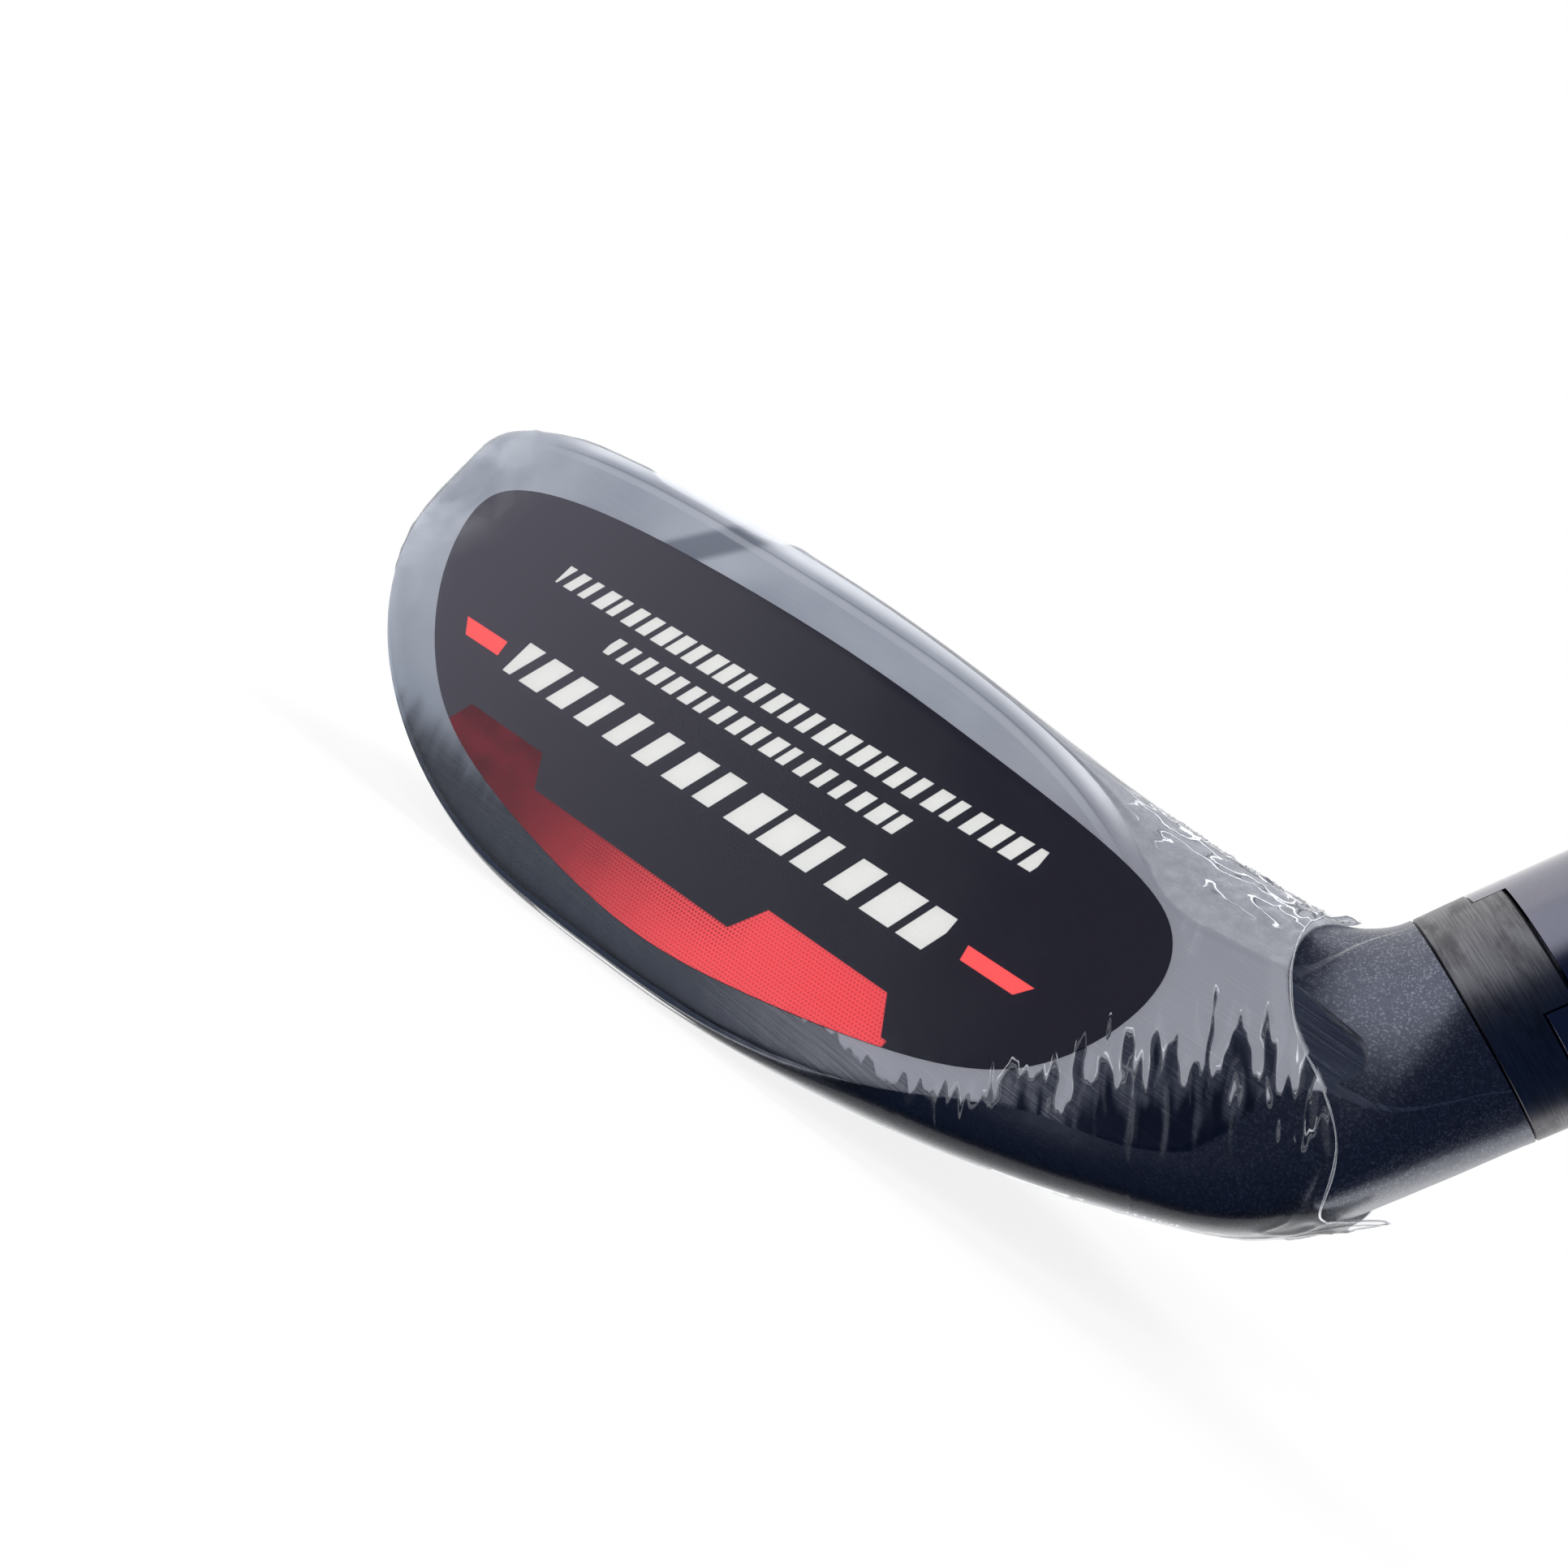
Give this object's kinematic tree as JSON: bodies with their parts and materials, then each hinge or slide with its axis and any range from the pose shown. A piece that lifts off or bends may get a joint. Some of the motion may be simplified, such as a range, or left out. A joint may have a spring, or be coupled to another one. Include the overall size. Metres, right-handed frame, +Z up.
{
  "type": "hybrid golf club",
  "caption": "Right-handed hybrid golf club with a hollow steel head, composite crown plate, adjustable shaft sleeve and ring, graphite shaft and rubber grip.",
  "frame": {"origin": "centre of the flat on the sole, on the ground, with the club standing at address", "axes": "+Z up, the face looks along -Y, the toe is towards -X and the shaft leans towards +X"},
  "size_m": [0.6255, 0.0582, 0.8629],
  "materials": {
    "head_paint": "satin dark paint with fine silver flake on the cast steel head body",
    "face_steel": "dark brushed steel, brush lines from heel to toe",
    "crown_composite": "gloss black composite plate",
    "crown_adhesive": "cured adhesive",
    "sticker": "matt charcoal face sticker with a red band and pale bars",
    "clear_film": "clear shrink film",
    "weight_steel": "plain sintered steel",
    "swing_weight": "blackened steel weight screw",
    "ring_metal": "dark anodised ring with turned lines",
    "sleeve_gloss": "gloss black anodised sleeve",
    "screw_steel": "plated steel",
    "ferrule": "polished black ferrule",
    "plug_rubber": "soft rubber",
    "shaft_graphite": "gloss lacquered graphite",
    "band_print": "printed band under clear lacquer",
    "grip_tape": "double-sided tape",
    "grip_rubber": "soft black rubber with a moulded pattern",
    "cap_rubber": "harder black rubber"
  },
  "bodies": {
    "head": {"head_body": "head_paint", "face_cup": "face_steel", "crown_plate": "crown_composite", "crown_bond": "crown_adhesive", "inner_weight": "weight_steel", "swing_weight": "swing_weight", "screw_clip": "screw_steel", "face_sticker": "sticker", "protective_film": "clear_film"},
    "screw": {"hosel_screw": "screw_steel", "screw_washer": "screw_steel"},
    "ring": {"lie_ring": "ring_metal"},
    "shaft": {"shaft_sleeve": "sleeve_gloss", "thread_insert": "screw_steel", "ferrule": "ferrule", "tip_plug": "plug_rubber", "shaft": "shaft_graphite", "shaft_band": "band_print", "grip_tape": "grip_tape", "grip": "grip_rubber", "grip_cap": "cap_rubber"}
  },
  "joints": [
    {"name": "shaft_lift", "type": "slide", "parent": "head", "child": "shaft", "axis": [0.5299, 0, 0.848], "range_m": [0, 0.0056]},
    {"name": "screw_turn", "type": "hinge", "parent": "head", "child": "screw", "pos_m": [0.04121, 0, 0.01314], "axis": [-0.5299, 0, -0.848], "range_deg": [0, 2521]},
    {"name": "ring_lift", "type": "slide", "parent": "head", "child": "ring", "axis": [0.5299, 0, 0.848], "range_m": [0, 0.00281]}
  ],
  "couplings": [
    {"joint": "screw_turn", "follows": "shaft_lift", "rad_per_m": 7854},
    {"joint": "ring_lift", "follows": "shaft_lift", "ratio": 0.5}
  ]
}
